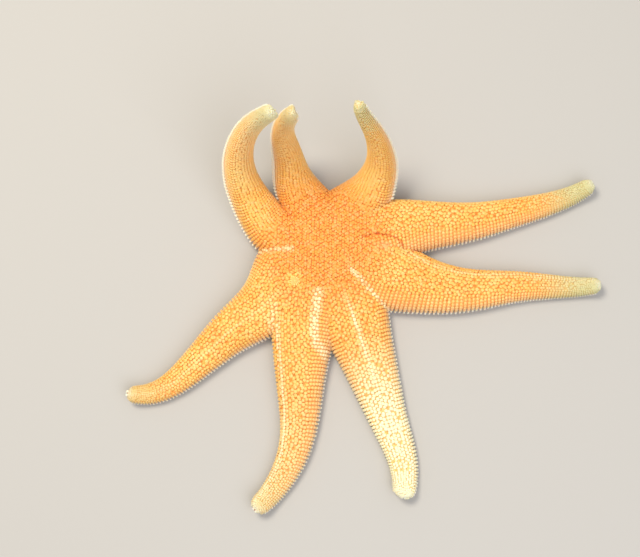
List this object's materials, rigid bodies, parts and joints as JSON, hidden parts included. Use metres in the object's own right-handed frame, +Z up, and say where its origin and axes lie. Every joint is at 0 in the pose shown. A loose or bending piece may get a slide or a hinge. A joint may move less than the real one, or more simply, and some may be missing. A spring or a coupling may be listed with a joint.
{
  "type": "starfish",
  "caption": "Life-size still model of a sun star lying on its oral side, with flat arms whose tips turn up and a few raised, curling arms.",
  "frame": {"origin": "on the floor, under the middle of the whole animal's box", "axes": "+Z up out of the back of the disc, +X along the animal's widest reach, +Y towards the raised arms"},
  "size_m": [0.2342, 0.186, 0.0844],
  "materials": {
    "orange_skin": "moist orange-yellow skin set with small pale plates",
    "pale_tip_skin": "moist cream-white skin at the arm tips",
    "sieve_plate": "finely grooved chalky plate",
    "jaw_plates": "moist cream skin over small spined plates"
  },
  "bodies": {
    "root": {"disc": "orange_skin", "madreporite": "sieve_plate", "mouth": "jaw_plates", "arm_1_inner": "orange_skin", "arm_1_outer": "orange_skin", "arm_1_tip": "pale_tip_skin", "arm_2_inner": "orange_skin", "arm_2_outer": "orange_skin", "arm_2_tip": "pale_tip_skin", "arm_3_inner": "orange_skin", "arm_3_outer": "orange_skin", "arm_3_tip": "pale_tip_skin", "arm_4_inner": "orange_skin", "arm_4_outer": "orange_skin", "arm_4_tip": "pale_tip_skin", "arm_5_inner": "orange_skin", "arm_5_outer": "orange_skin", "arm_5_tip": "pale_tip_skin", "arm_6_inner": "orange_skin", "arm_6_outer": "orange_skin", "arm_6_tip": "pale_tip_skin", "arm_7_inner": "orange_skin", "arm_7_outer": "orange_skin", "arm_7_tip": "pale_tip_skin", "arm_8_inner": "orange_skin", "arm_8_outer": "orange_skin", "arm_8_tip": "pale_tip_skin"}
  },
  "joints": []
}
